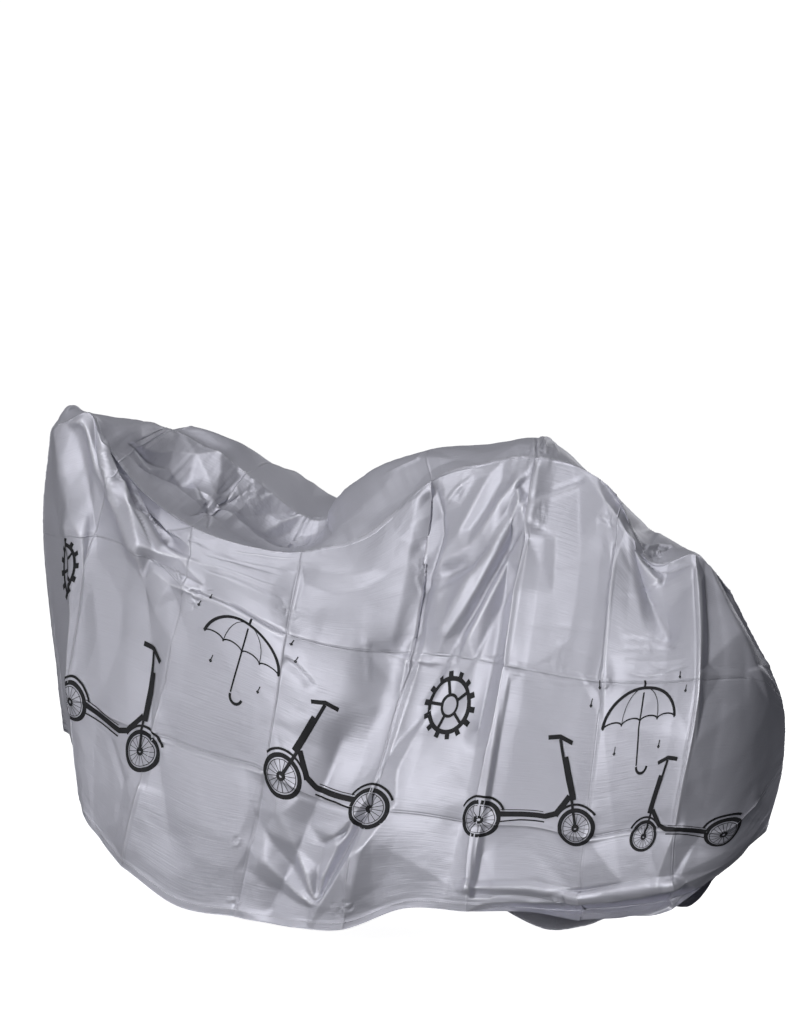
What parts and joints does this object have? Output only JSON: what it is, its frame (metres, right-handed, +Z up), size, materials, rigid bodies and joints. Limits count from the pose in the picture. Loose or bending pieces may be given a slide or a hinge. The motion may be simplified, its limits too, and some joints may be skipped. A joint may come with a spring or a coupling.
{
  "type": "fitted scooter cover",
  "caption": "Thin film cover draped over a two-wheeler: two side panels sewn to a strip that runs over handlebar, saddle and rear carrier, open at the hem.",
  "frame": {"origin": "centre of the inner face of the cover's top over the saddle, where the covered vehicle holds it up", "axes": "+X to the covered vehicle's rear along the longest side, +Y across to its far side along the shortest, +Z up"},
  "size_m": [1.7617, 0.6687, 1.086],
  "materials": {
    "near_film": "silver-grey plastic film, satin, with packing creases",
    "far_film": "silver-grey plastic film, satin, with packing creases",
    "top_film": "silver-grey plastic film, satin, with soft wrinkles"
  },
  "bodies": {
    "root": {"side_panel_near": "near_film", "side_panel_far": "far_film", "top_gusset": "top_film"}
  },
  "joints": []
}
